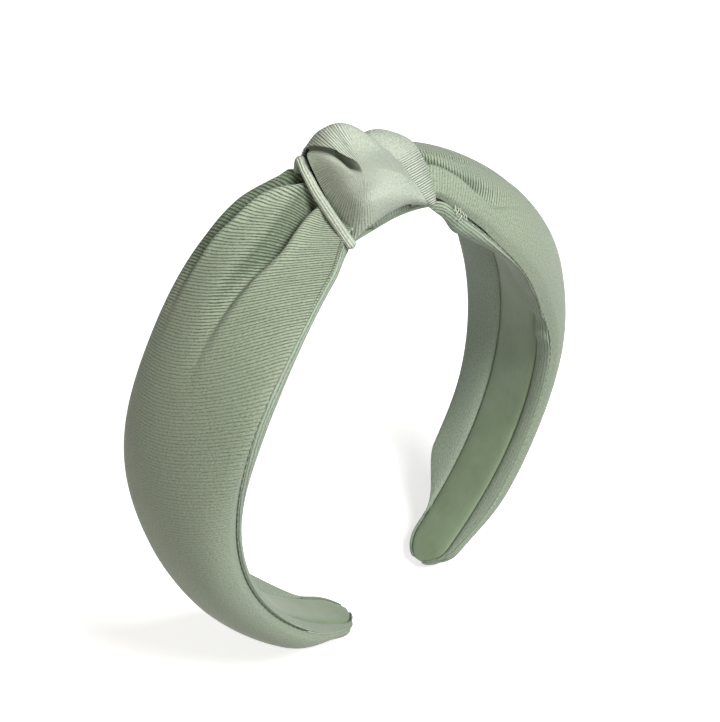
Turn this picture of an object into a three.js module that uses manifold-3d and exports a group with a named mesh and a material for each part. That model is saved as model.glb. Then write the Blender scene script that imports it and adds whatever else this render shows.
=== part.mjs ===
// A padded, knotted headband: a covered plastic hoop, two padded fabric legs and a knot on the crown.
// Millimetres. Z is up. The origin is on the inner face of the crown, where the band rests on a head.
// X runs across the head, and the wearer's forehead is on the -Y side.
import * as THREE from 'three';
import { mergeVertices } from 'three/addons/utils/BufferGeometryUtils.js';
import Module from 'manifold-3d';

const wasm = await Module();
wasm.setup();

// Hoop: a flat crown, then a bend. The bend rate is in degrees for each quarter of the half length. It is
// given beside the flat and at the end of each quarter, and changes evenly in between.
const halfLength = 190;
const crownFlat = 8;
const bendRates = [74.5, 35, 37, 32, 18];
const hoopThickness = 1.5;
const hoopInset = 0.6;

// Sleeve: the satin cover on the hoop, which is the strip that touches the head.
const sleeveSkin = 0.35;
const stripHalfWidth = 7.9;
const stripTipHalfWidth = 6.2;
const stripTaperFrom = 0.6; // share of the length where the strip begins to narrow
const stripColumns = [-1, -0.4, 0.4, 1];

// Legs: a sewn tube of an outer panel and a facing, filled with foam.
const clothThickness = 0.6;
const tipHalfWidth = 8.4;
const facingBulge = 1.5;
const neckLength = 10;
const neckWidths = { front: 10, back: 18 };
const shoulderWidths = { front: 15, back: 24 };
const legFractions = [0.3, 0.5, 0.7, 0.87];
const frontWidths = [20.6, 15.8, 13.9, 13.2];
const backWidths = [26.4, 22.4, 20, 18.4];
const neckHeight = 13.5;
const tipHeight = 5.6;
const legHeights = [13.8, 14, 12.6, 10];
const seamHeights = [3.4, 1.3];
const crossRoundness = [0.74, 0.5];
const legFullness = { left: 1.045, right: 0.955 };
const padTipSetback = 22;
const seamLevelAt = 0.4; // share of the length where the seams reach their second height
const roundnessHeldTo = 0.8; // share of the length up to which the arch keeps its first roundness
const archColumns = 15;
const padSideShare = 0.995;

// Thread
const threadRadius = 0.25;
const closingStitchLength = 24;
const tackThreadLength = 5;
const threadSetback = 0.6;

// Knot
const knotCentre = 5.5;
const knotHalfWidth = 14.5;
const coreSetback = 0.5;
const domeSegments = 14;
const mainLoopWidth = 22;
const loopInner = { depth: 12, height: 11 };
const mainLoopThickness = { depth: 4, height: 10 };
const rightLoopThickness = { depth: 3, height: 4 };
const collarWidth = 2.2;
const collarStep = 0.8;
const seatStations = [-1.6, -1, -0.6, -0.25, 0.25, 0.6, 1, 1.6, 2.2]; // in knot half widths

// Clearances
const gap = 0.3;
const slip = 0.2;
const flexGap = 0.3;
const flexSetback = 1;
const legStart = 2.2;
const endLean = 0.3;

// Stations along the hoop
const walkStep = 0.25;
const legSpacing = 12;
const stationCrowding = 1.3; // over 1 brings the stations closer together beside the knot
const tipShares = [0.25, 0.45, 0.6, 0.7, 0.82, 0.92];
const crownShares = [1, 0.55, 0.2];
const roundEnd = 0.1; // share of the half width that is left at a tip's very end
const weldDistance = 1e-4;

const sleeveThickness = hoopThickness + 2 * (slip + sleeveSkin);
const seatHeight = sleeveThickness + gap;
const tipCentre = halfLength - tipHalfWidth;

const colours = { panel: 0x9cab92, facing: 0x8d9e84, strip: 0x7c8b6b, plastic: 0xd8d8d0, foam: 0xf0efe6 };

function lerp(from, to, share) {
  return from + (to - from) * share;
}

// A smooth curve through the given stations, level with its neighbours' slope at each one.
function profile(stations, values) {
  const slopes = values.map((value, i) => {
    const before = Math.max(i - 1, 0);
    const after = Math.min(i + 1, values.length - 1);
    return (values[after] - values[before]) / (stations[after] - stations[before]);
  });
  return (s) => {
    let i = 0;
    while (i < stations.length - 2 && s > stations[i + 1]) i += 1;
    const span = stations[i + 1] - stations[i];
    const share = THREE.MathUtils.clamp((s - stations[i]) / span, 0, 1);
    const rise = values[i + 1] - values[i];
    const ease = share * share * (3 - 2 * share);
    const leave = share * (1 - share) ** 2 * slopes[i] * span;
    const arrive = share * share * (1 - share) * slopes[i + 1] * span;
    return values[i] + ease * rise + leave - arrive;
  };
}

function curvature(s) {
  const quarter = halfLength / 4;
  const stops = bendRates.map((rate, i) => Math.max(i * quarter, crownFlat / 2));
  if (s < stops[0]) return 0;
  let i = 0;
  while (i < stops.length - 2 && s > stops[i + 1]) i += 1;
  const rate = lerp(bendRates[i], bendRates[i + 1], (s - stops[i]) / (stops[i + 1] - stops[i]));
  return THREE.MathUtils.degToRad(rate) / quarter;
}

// The hoop's inner line, walked from the crown to the tip in short steps.
const walk = [{ x: 0, z: 0, turn: 0 }];
for (let s = 0; s < halfLength + walkStep; s += walkStep) {
  const last = walk[walk.length - 1];
  const turn = last.turn + curvature(s + walkStep / 2) * walkStep;
  const middle = (last.turn + turn) / 2;
  walk.push({ x: last.x + Math.cos(middle) * walkStep, z: last.z - Math.sin(middle) * walkStep, turn });
}

// The point that lies s along the hoop, y across it and n out from its inner face. Side is -1 on the left.
function onHoop(side, s, y, n) {
  const steps = Math.abs(s) / walkStep;
  const i = Math.min(Math.floor(steps), walk.length - 2);
  const share = steps - i;
  const x = lerp(walk[i].x, walk[i + 1].x, share);
  const z = lerp(walk[i].z, walk[i + 1].z, share);
  const turn = lerp(walk[i].turn, walk[i + 1].turn, share);
  return new THREE.Vector3(side * Math.sign(s || 1) * (x + Math.sin(turn) * n), y, z + Math.cos(turn) * n);
}

function toSolid(geometry) {
  geometry.deleteAttribute('normal');
  geometry.deleteAttribute('uv');
  const merged = mergeVertices(geometry, weldDistance);
  return new wasm.Manifold(
    new wasm.Mesh({
      numProp: 3,
      vertProperties: new Float32Array(merged.attributes.position.array),
      triVerts: new Uint32Array(merged.index.array),
    }),
  );
}

function toGeometry(solid) {
  const mesh = solid.getMesh();
  const geometry = new THREE.BufferGeometry();
  geometry.setAttribute('position', new THREE.BufferAttribute(new Float32Array(mesh.vertProperties), 3));
  geometry.setIndex(new THREE.BufferAttribute(new Uint32Array(mesh.triVerts), 1));
  return geometry;
}

// The closed solid between two sheets, each a list of rows of points: outer lies on the outward side.
function between(outer, inner, side) {
  const rows = outer.length;
  const columns = outer[0].length;
  const positions = [...outer.flat(), ...inner.flat()].flatMap((point) => point.toArray());
  const index = [];
  const quad = (a, b, c, d) => index.push(...(side > 0 ? [a, b, c, a, c, d] : [a, c, b, a, d, c]));
  const out = (i, j) => i * columns + j;
  const back = (i, j) => rows * columns + out(i, j);
  for (let i = 0; i < rows - 1; i += 1) {
    for (let j = 0; j < columns - 1; j += 1) {
      quad(out(i, j), out(i + 1, j), out(i + 1, j + 1), out(i, j + 1));
      quad(back(i, j), back(i, j + 1), back(i + 1, j + 1), back(i + 1, j));
    }
    quad(out(i, 0), back(i, 0), back(i + 1, 0), out(i + 1, 0));
    quad(out(i, columns - 1), out(i + 1, columns - 1), back(i + 1, columns - 1), back(i, columns - 1));
  }
  for (let j = 0; j < columns - 1; j += 1) {
    quad(out(0, j), out(0, j + 1), back(0, j + 1), back(0, j));
    quad(out(rows - 1, j), back(rows - 1, j), back(rows - 1, j + 1), out(rows - 1, j + 1));
  }
  const geometry = new THREE.BufferGeometry();
  geometry.setAttribute('position', new THREE.BufferAttribute(new Float32Array(positions), 3));
  geometry.setIndex(index);
  return geometry;
}

function threadAlong(points) {
  const section = new THREE.Shape().absarc(0, 0, threadRadius, 0, 2 * Math.PI);
  return new THREE.ExtrudeGeometry(section, {
    extrudePath: new THREE.CatmullRomCurve3(points),
    steps: Math.max(3, Math.round(points.length * 1.5)),
    curveSegments: 3,
    bevelEnabled: false,
  });
}

// Narrows a half width to a round end that reaches full width again at the centre of the tip's arc.
function roundTip(halfWidth, s, radius) {
  const past = Math.max(0, s - tipCentre) / radius;
  return halfWidth * Math.sqrt(Math.max(roundEnd ** 2, 1 - past * past));
}

function stripWidth(s) {
  const stations = [0, stripTaperFrom * halfLength, tipCentre];
  const width = profile(stations, [stripHalfWidth, stripHalfWidth, stripTipHalfWidth])(s);
  return roundTip(width, s, stripTipHalfWidth);
}

const legs = {
  left: { name: 'left', side: -1, knotSide: knotHalfWidth - knotCentre },
  right: { name: 'right', side: 1, knotSide: knotHalfWidth + knotCentre },
};

// How far a leg reaches to the front, to the back and outwards at each point along it.
function legShape(leg) {
  const shoulder = leg.knotSide + neckLength;
  const stations = [leg.knotSide, shoulder, ...legFractions.map((share) => share * halfLength), halfLength];
  const fullness = legFullness[leg.name];
  const widths = (neck, shoulderWidth, along) =>
    profile(stations, [neck, ...[shoulderWidth, ...along].map((width) => width * fullness), tipHalfWidth]);
  const front = widths(neckWidths.front, shoulderWidths.front, frontWidths);
  const back = widths(neckWidths.back, shoulderWidths.back, backWidths);
  return {
    front: (s) => roundTip(front(s), s, tipHalfWidth),
    back: (s) => roundTip(back(s), s, tipHalfWidth),
    top: profile(stations, [neckHeight, neckHeight, ...legHeights, tipHeight]),
    seam: profile([leg.knotSide, seamLevelAt * halfLength, halfLength], [...seamHeights, gap * 2]),
    roundness: profile(
      [leg.knotSide, roundnessHeldTo * halfLength, halfLength],
      [crossRoundness[0], ...crossRoundness],
    ),
  };
}

// The arch of the outer panel from the front seam to the back seam, moved inwards by inset.
function archRow(shape, s, inset) {
  const front = shape.front(s) - inset;
  const back = shape.back(s) - inset;
  const rise = shape.top(s) - inset - shape.seam(s);
  return Array.from({ length: archColumns }, (_, i) => {
    const sweep = (Math.PI * i) / (archColumns - 1);
    const y = (back - front) / 2 - ((back + front) / 2) * Math.cos(sweep);
    return [y, shape.seam(s) + rise * Math.sin(sweep) ** shape.roundness(s)];
  });
}

// The facing from the front seam, round the rolled edge and under the strip, to the back seam.
function facingRow(shape, s, inset) {
  const seam = shape.seam(s) - gap;
  const channel = stripWidth(s) + gap + inset;
  const roll = (reach) => {
    const low = (stripWidth(s) + reach) / 2;
    const sweeps = [0, 1, 2, 3].map((step) => (step * Math.PI) / 6);
    return sweeps.map((sweep) => [
      low + (reach - inset - low) * Math.cos(sweep),
      seam - (seam + facingBulge - inset) * Math.sin(sweep),
    ]);
  };
  const floor = seatHeight + inset;
  const wall = [[channel + slip, inset - facingBulge / 2], [channel, floor]];
  const front = [...roll(shape.front(s)), ...wall];
  const back = [...roll(shape.back(s)), ...wall];
  return [...front.map(([y, n]) => [-y, n]), ...back.reverse()];
}

function legFirstStation(leg) {
  return leg.knotSide + flexSetback + legStart;
}

// Stations along a leg, closer together by the knot, where the hoop bends sharply, and at the rounded tip.
function legStations(leg, last) {
  const first = legFirstStation(leg);
  const count = Math.round((tipCentre - first) / legSpacing);
  const shareOf = (i) => (i / count) ** stationCrowding;
  const along = Array.from({ length: count + 1 }, (_, i) => lerp(first, tipCentre, shareOf(i)));
  const tip = tipShares.map((share) => tipCentre + share * tipHalfWidth);
  return [...along, ...tip].filter((s) => s <= last);
}

// Places rows of [y, n] on the hoop. The first rows lean away from the knot, so that a leg can flex open.
function placeRows(leg, stations, rowAt) {
  const first = stations[0];
  return stations.map((s) =>
    rowAt(s).map(([y, n]) => {
      const lean = Math.max(0, n) * endLean * Math.max(0, 1 - (s - first) / (2 * legSpacing));
      return onHoop(leg.side, s + lean, y, n);
    }),
  );
}

function makeOuterPanel(leg) {
  const shape = legShape(leg);
  const stations = legStations(leg, halfLength);
  const outer = placeRows(leg, stations, (s) => archRow(shape, s, 0));
  const inner = placeRows(leg, stations, (s) => archRow(shape, s, clothThickness));
  return between(outer, inner, leg.side);
}

function makeFacing(leg) {
  const shape = legShape(leg);
  const stations = legStations(leg, halfLength);
  const outer = placeRows(leg, stations, (s) => facingRow(shape, s, clothThickness));
  const inner = placeRows(leg, stations, (s) => facingRow(shape, s, 0));
  return between(outer, inner, leg.side);
}

// Foam between the panel and the facing, with room for both.
function makePad(leg) {
  const shape = legShape(leg);
  const stations = legStations(leg, halfLength - padTipSetback);
  const inset = clothThickness + gap;
  const topAt = (s, y) => {
    const front = shape.front(s) - inset;
    const back = shape.back(s) - inset;
    const share = (y - (back - front) / 2) / ((back + front) / 2);
    const rise = shape.top(s) - inset - shape.seam(s);
    return shape.seam(s) + rise * Math.max(0, 1 - share * share) ** (shape.roundness(s) / 2);
  };
  const bottom = placeRows(leg, stations, (s) => facingRow(shape, s, inset));
  const top = placeRows(leg, stations, (s) =>
    facingRow(shape, s, inset).map(([below]) => {
      const y = below * padSideShare;
      return [y, Math.max(topAt(s, y), shape.seam(s))];
    }),
  );
  return between(top, bottom, leg.side);
}

// A flat strip along one side of the hoop, from s = first to s = last, between two heights.
function stripSheet(side, stations, halfWidthAt, low, high) {
  const row = (s, n) => stripColumns.map((share) => onHoop(side, s, share * halfWidthAt(s), n));
  const sheet = (n) => stations.map((s) => row(s, n));
  return between(sheet(high), sheet(low), side);
}

// Stations of the hoop and its sleeve: the leg's own, after a first one at the flex line.
function stripStations(leg, last) {
  return [leg.knotSide + flexSetback + flexGap, ...legStations(leg, last)];
}

function makeSleeve(leg) {
  const stations = stripStations(leg, tipCentre + stripTipHalfWidth);
  const cover = stripSheet(leg.side, stations, stripWidth, 0, sleeveThickness);
  const open = stripStations(leg, tipCentre).map((s, i) => (i ? s : s - legStart));
  const pocket = stripSheet(
    leg.side,
    [...open, tipCentre + gap],
    (s) => stripWidth(Math.min(s, tipCentre)) - hoopInset + slip,
    sleeveSkin,
    sleeveThickness - sleeveSkin,
  );
  return toGeometry(toSolid(cover).subtract(toSolid(pocket)));
}

function makeHoopArm(leg) {
  const low = sleeveSkin + slip;
  const stations = stripStations(leg, tipCentre);
  return stripSheet(leg.side, stations, (s) => stripWidth(s) - hoopInset, low, low + hoopThickness);
}

// The crown's rows run from the left flex line to the right one, across the flat.
function crownStations() {
  const left = legs.left.knotSide + flexSetback - flexGap;
  const right = legs.right.knotSide + flexSetback - flexGap;
  const bend = (end) => crownShares.map((share) => lerp(crownFlat / 2, end, share));
  const rightHalf = [crownFlat / 2, ...bend(right).reverse()];
  return [...bend(left).map((s) => -s), -crownFlat / 2, ...rightHalf];
}

function makeSleeveCrown() {
  const stations = crownStations();
  const cover = stripSheet(1, stations, () => stripHalfWidth, 0, sleeveThickness);
  const past = stations.map((s, i) => (i === 0 ? s - 1 : i === stations.length - 1 ? s + 1 : s));
  const half = stripHalfWidth - hoopInset + slip;
  const pocket = stripSheet(1, past, () => half, sleeveSkin, sleeveThickness - sleeveSkin);
  return toGeometry(toSolid(cover).subtract(toSolid(pocket)));
}

function makeHoopCrown() {
  const low = sleeveSkin + slip;
  return stripSheet(1, crownStations(), () => stripHalfWidth - hoopInset, low, low + hoopThickness);
}

// Everything at or below the seat of the knot, which follows the crown's bend.
function underKnot() {
  const reach = knotHalfWidth * 3;
  const stations = seatStations.map((share) => share * knotHalfWidth);
  const sheet = (n) => stations.map((s) => [-reach, reach].map((y) => onHoop(1, s, y, n)));
  return toSolid(between(sheet(seatHeight), sheet(-reach / 2), 1));
}

// A round-topped block across the crown, from x = low to x = high, standing lower than the seat.
function dome(radii, low, high) {
  const outline = new THREE.Shape();
  outline.moveTo(-radii.depth, -2 * seatHeight);
  outline.lineTo(radii.depth, -2 * seatHeight);
  outline.lineTo(radii.depth, seatHeight);
  outline.absellipse(0, seatHeight, radii.depth, radii.height, 0, Math.PI);
  const options = { depth: high - low, curveSegments: domeSegments, bevelEnabled: false };
  const block = new THREE.ExtrudeGeometry(outline, options);
  block.applyMatrix4(new THREE.Matrix4().makeBasis(
    new THREE.Vector3(0, 1, 0),
    new THREE.Vector3(0, 0, 1),
    new THREE.Vector3(1, 0, 0),
  ));
  block.translate(low, 0, 0);
  return toSolid(block);
}

function grow(radii, by) {
  return { depth: radii.depth + by.depth, height: radii.height + by.height };
}

const knotLow = knotCentre - knotHalfWidth;
const knotHigh = knotCentre + knotHalfWidth;
const mainLow = knotLow + collarWidth + gap;
const mainHigh = mainLow + mainLoopWidth;
const seatClear = { depth: gap, height: gap };

function makeLoop(thickness, low, high) {
  const hole = dome(grow(loopInner, seatClear), low - 1, high + 1);
  return toGeometry(dome(grow(loopInner, thickness), low, high).subtract(hole).subtract(underKnot()));
}

function makeKnotCore() {
  return toGeometry(dome(loopInner, knotLow + coreSetback, knotHigh - coreSetback).subtract(underKnot()));
}

function makeKnotCollar() {
  const thickness = grow(mainLoopThickness, { depth: collarStep, height: collarStep });
  return makeLoop(thickness, knotLow, knotLow + collarWidth);
}

// A seam lies where the panel and the facing meet, on the front (edge -1) or the back (edge 1).
function seamThread(leg, edge, from, to) {
  const shape = legShape(leg);
  const reach = edge < 0 ? shape.front : shape.back;
  const offset = threadRadius + gap;
  const inside = legStations(leg, to).filter((s) => s > from + threadSetback && s < to - threadSetback);
  const points = [from, ...inside, to].map((s) =>
    onHoop(leg.side, s, edge * (reach(s) + offset), shape.seam(s) - gap / 2),
  );
  return threadAlong(points);
}

const group = new THREE.Group();

function add(name, geometry, colour, roughness) {
  const material = new THREE.MeshStandardMaterial({ color: colour, roughness, metalness: 0 });
  const mesh = new THREE.Mesh(geometry, material);
  mesh.name = name;
  group.add(mesh);
}

add('hoop_crown', makeHoopCrown(), colours.plastic, 0.4);
add('sleeve_crown', makeSleeveCrown(), colours.strip, 0.6);
add('knot_core', makeKnotCore(), colours.facing, 0.7);
add('knot_main_loop', makeLoop(mainLoopThickness, mainLow, mainHigh), colours.panel, 0.6);
add('knot_right_loop', makeLoop(rightLoopThickness, mainHigh + gap, knotHigh), colours.panel, 0.6);
add('knot_collar', makeKnotCollar(), colours.facing, 0.6);

for (const leg of Object.values(legs)) {
  const start = legFirstStation(leg) + threadSetback;
  const afterTack = start + tackThreadLength + threadSetback;
  const closing = tipCentre - closingStitchLength;
  add(`hoop_arm_${leg.name}`, makeHoopArm(leg), colours.plastic, 0.4);
  add(`sleeve_${leg.name}`, makeSleeve(leg), colours.strip, 0.6);
  add(`pad_${leg.name}`, makePad(leg), colours.foam, 0.9);
  add(`outer_panel_${leg.name}`, makeOuterPanel(leg), colours.panel, 0.6);
  add(`facing_${leg.name}`, makeFacing(leg), colours.facing, 0.6);
  const frontSeam = seamThread(leg, -1, afterTack, closing - threadSetback);
  add(`seam_thread_front_${leg.name}`, frontSeam, colours.facing, 0.8);
  add(`seam_thread_back_${leg.name}`, seamThread(leg, 1, start, tipCentre), colours.facing, 0.8);
  add(`closing_stitch_${leg.name}`, seamThread(leg, -1, closing, tipCentre), colours.foam, 0.8);
}

const tackStart = legFirstStation(legs.right) + threadSetback;
const tackThread = seamThread(legs.right, -1, tackStart, tackStart + tackThreadLength);
add('knot_tack_thread', tackThread, colours.foam, 0.8);

export default group;
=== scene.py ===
# A padded, knotted headband in sage ribbed twill: materials, cloth, stitches, light and camera.
# Lengths in this file are in millimetres until a mesh is made. Blender's own units are metres.
import math
import bpy
import numpy as np
from mathutils import Matrix, Vector


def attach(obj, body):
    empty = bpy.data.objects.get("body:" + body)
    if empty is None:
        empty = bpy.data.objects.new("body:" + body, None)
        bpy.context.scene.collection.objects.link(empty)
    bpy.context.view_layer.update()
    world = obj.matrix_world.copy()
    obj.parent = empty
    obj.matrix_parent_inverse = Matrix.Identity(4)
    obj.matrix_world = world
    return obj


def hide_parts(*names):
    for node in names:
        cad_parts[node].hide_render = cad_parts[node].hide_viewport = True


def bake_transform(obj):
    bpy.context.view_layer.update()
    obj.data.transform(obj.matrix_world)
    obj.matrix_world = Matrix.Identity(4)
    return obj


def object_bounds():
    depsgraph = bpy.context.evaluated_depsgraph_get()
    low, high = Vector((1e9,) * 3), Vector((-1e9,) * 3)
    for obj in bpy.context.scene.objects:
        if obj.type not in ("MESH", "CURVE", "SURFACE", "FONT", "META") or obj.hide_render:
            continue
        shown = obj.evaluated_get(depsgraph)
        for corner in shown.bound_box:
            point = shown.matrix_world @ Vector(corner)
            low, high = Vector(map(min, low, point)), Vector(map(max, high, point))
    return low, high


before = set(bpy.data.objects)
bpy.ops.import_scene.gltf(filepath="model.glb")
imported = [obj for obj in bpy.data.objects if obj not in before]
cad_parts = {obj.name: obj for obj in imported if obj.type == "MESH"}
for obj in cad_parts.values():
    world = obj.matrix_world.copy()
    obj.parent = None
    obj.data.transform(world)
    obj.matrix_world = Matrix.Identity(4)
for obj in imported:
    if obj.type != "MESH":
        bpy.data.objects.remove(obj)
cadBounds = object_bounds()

millimetre = 0.001

hoop = dict(
    halfLength=190,
    crownFlat=8,
    bendRates=[74.5, 35, 37, 32, 18],  # degrees for each quarter of the half length
    sleeveThickness=2.6,
    plasticThickness=1.5,
    stripHalfWidth=7.9,
    stripTipHalfWidth=6.7,
    tipReach=8.6,
    walkStep=0.25,
)
quarter = hoop["halfLength"] / 4
bendStops = [max(i * quarter, hoop["crownFlat"] / 2) for i in range(5)]


def walkHoop():
    stations = np.arange(0, hoop["halfLength"] + 12, hoop["walkStep"])
    middles = stations[:-1] + hoop["walkStep"] / 2
    rates = np.interp(middles, bendStops, hoop["bendRates"])
    rates[middles < bendStops[0]] = 0
    turn = np.concatenate([[0], np.cumsum(np.radians(rates) / quarter * hoop["walkStep"])])
    middleTurn = (turn[1:] + turn[:-1]) / 2
    x = np.concatenate([[0], np.cumsum(np.cos(middleTurn) * hoop["walkStep"])])
    z = np.concatenate([[0], np.cumsum(-np.sin(middleTurn) * hoop["walkStep"])])
    return stations, x, z, turn


walkS, walkX, walkZ, walkTurn = walkHoop()


# The point s along the hoop, y across it and n out from its inner face, for numbers or arrays.
def onHoop(side, s, y, n):
    s, y, n = np.broadcast_arrays(*(np.asarray(value, float) for value in (s, y, n)))
    away = np.abs(s)
    turn = np.interp(away, walkS, walkTurn)
    x = np.interp(away, walkS, walkX) + np.sin(turn) * n
    z = np.interp(away, walkS, walkZ) + np.cos(turn) * n
    return np.stack([side * np.where(s < 0, -1, 1) * x, y, z], -1)


# A smooth curve through the given stations.
def profile(stations, values):
    stations, values = np.array(stations, float), np.array(values, float)
    slopes = np.gradient(values)
    span = np.gradient(stations)
    slopes = slopes / span

    def at(s):
        i = np.clip(np.searchsorted(stations, s, side="right") - 1, 0, len(values) - 2)
        width = stations[i + 1] - stations[i]
        f = np.clip((s - stations[i]) / width, 0, 1)
        ease = f * f * (3 - 2 * f)
        leave = f * (1 - f) ** 2 * slopes[i] * width
        arrive = f * f * (1 - f) * slopes[i + 1] * width
        return values[i] + ease * (values[i + 1] - values[i]) + leave - arrive

    return at


def smooth(low, high, value):
    f = np.clip((value - low) / (high - low), 0, 1)
    return f * f * (3 - 2 * f)


def gridNormals(grid):
    along = np.gradient(grid, axis=0)
    across = np.gradient(grid, axis=1)
    normal = np.cross(along, across)
    return normal / np.maximum(np.linalg.norm(normal, axis=-1, keepdims=True), 1e-9)


# One grid of quads, as rows of corner numbers.
def quadRows(rows, columns, offset=0):
    corner = np.arange(rows * columns).reshape(rows, columns) + offset
    return np.stack([corner[:-1, :-1], corner[1:, :-1], corner[1:, 1:], corner[:-1, 1:]], -1).reshape(-1, 4)


def makeObject(name, points, faces, material, weave=None, depth=None):
    points = np.asarray(points, float) * millimetre
    mesh = bpy.data.meshes.new(name)
    mesh.from_pydata(points.tolist(), [], [list(face) for face in faces])
    mesh.polygons.foreach_set("use_smooth", np.ones(len(mesh.polygons), bool))
    if weave is not None:
        corners = np.zeros(len(mesh.loops), np.int32)
        mesh.loops.foreach_get("vertex_index", corners)
        layer = mesh.uv_layers.new(name="weave")
        layer.data.foreach_set("uv", weave[corners].astype(np.float32).ravel())
    if depth is not None:
        attribute = mesh.attributes.new("ribDepthAndShade", "FLOAT", "POINT")
        attribute.data.foreach_set("value", np.asarray(depth, np.float32))
    mesh.materials.append(material)
    mesh.update()
    obj = bpy.data.objects.new(name, mesh)
    bpy.context.scene.collection.objects.link(obj)
    return obj


# A closed cloth under a grid of points. Inside is a point, or one for each row, on its inner side.
def makeCloth(name, grid, thickness, material, weave, depth, inside):
    rows, columns = grid.shape[:2]
    normal = gridNormals(grid)
    thickness = np.broadcast_to(thickness, (rows, columns))[..., None]
    inside = np.broadcast_to(np.asarray(inside, float).reshape(-1, 1, 3), (rows, 1, 3))
    facing = np.sign(np.sum((grid - inside) * normal))
    under = grid - normal * facing * thickness
    points = np.concatenate([grid.reshape(-1, 3), under.reshape(-1, 3)])
    top = quadRows(rows, columns)
    bottom = quadRows(rows, columns, rows * columns)[:, ::-1]
    corner = np.arange(rows * columns).reshape(rows, columns)
    border = np.concatenate([corner[0, :-1], corner[:-1, -1], corner[-1, :0:-1], corner[:0:-1, 0]])
    ahead = np.roll(border, -1)
    rim = np.stack([border, ahead, ahead + rows * columns, border + rows * columns], -1)
    faces = np.concatenate([top, bottom, rim])
    if facing < 0:
        faces = faces[:, ::-1]
    weave = np.concatenate([weave.reshape(-1, 2)] * 2)
    depth = np.concatenate([np.asarray(depth, float).ravel()] * 2)
    return makeObject(name, points, faces, material, weave, depth)


# A closed loft through rings of points, one ring for each row.
def makeLoft(name, rings, material, weave=None, depth=None):
    rows, columns = rings.shape[:2]
    corner = np.arange(rows * columns).reshape(rows, columns)
    ahead = np.roll(corner, -1, axis=1)
    sides = np.stack([corner[:-1], ahead[:-1], ahead[1:], corner[1:]], -1).reshape(-1, 4)
    faces = [list(face) for face in sides] + [list(corner[0, ::-1]), list(corner[-1])]
    points = rings.reshape(-1, 3)
    middle = points.mean(0)
    a, b, c = (points[sides[:, i]] - middle for i in range(3))
    if np.sum(np.cross(a, b) * c) < 0:
        faces = [face[::-1] for face in faces]
    flatWeave = None if weave is None else weave.reshape(-1, 2)
    flatDepth = None if depth is None else np.asarray(depth, float).ravel()
    return makeObject(name, points, faces, material, flatWeave, flatDepth)


# Round rods through lists of points, all in one mesh.
def makeRods(name, paths, radius, material, sides=6):
    points, faces, weave = [], [], []
    for path in paths:
        path = np.asarray(path, float)
        tangent = np.gradient(path, axis=0)
        tangent /= np.maximum(np.linalg.norm(tangent, axis=1, keepdims=True), 1e-9)
        helper = np.where(np.abs(tangent[:, 1:2]) > 0.8, [[1.0, 0, 0]], [[0, 1.0, 0]])
        first = np.cross(tangent, helper)
        first /= np.linalg.norm(first, axis=1, keepdims=True)
        second = np.cross(tangent, first)
        share = np.linspace(-1, 1, len(path))
        taper = radius * np.sqrt(np.maximum(0.12, 1 - share**6))[:, None, None]
        angle = np.linspace(0, 2 * math.pi, sides, endpoint=False)
        wave = angle[None, :, None]
        ring = first[:, None] * np.cos(wave) + second[:, None] * np.sin(wave)
        ring = path[:, None] + ring * taper
        start = sum(len(block) for block in points)
        corner = np.arange(len(path) * sides).reshape(len(path), sides) + start
        ahead = np.roll(corner, -1, axis=1)
        faces += np.stack([corner[:-1], ahead[:-1], ahead[1:], corner[1:]], -1).reshape(-1, 4).tolist()
        faces += [corner[0, ::-1].tolist(), corner[-1].tolist()]
        points.append(ring.reshape(-1, 3))
        length = np.concatenate([[0], np.cumsum(np.linalg.norm(np.diff(path, axis=0), axis=1))])
        weave.append(
            np.stack(np.broadcast_arrays(length[:, None], angle[None] / math.pi), -1).reshape(-1, 2)
        )
    return makeObject(name, np.concatenate(points), faces, material, np.concatenate(weave))


def toLinear(hexColour):
    channels = [int(hexColour[i : i + 2], 16) / 255 for i in (1, 3, 5)]
    return [c / 12.92 if c <= 0.04045 else ((c + 0.055) / 1.055) ** 2.4 for c in channels] + [1]


def addNode(tree, kind, links=None, **settings):
    node = tree.nodes.new(kind)
    for key, value in settings.items():
        setattr(node, key, value)
    for socket, source in (links or {}).items():
        if isinstance(source, bpy.types.NodeSocket):
            tree.links.new(source, node.inputs[socket])
        else:
            node.inputs[socket].default_value = source
    return node


def newMaterial(name):
    material = bpy.data.materials.new(name)
    material.use_nodes = True
    tree = material.node_tree
    tree.nodes.clear()
    shader = addNode(tree, "ShaderNodeBsdfPrincipled")
    addNode(tree, "ShaderNodeOutputMaterial", {"Surface": shader.outputs["BSDF"]})
    return material, tree, shader


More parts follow.
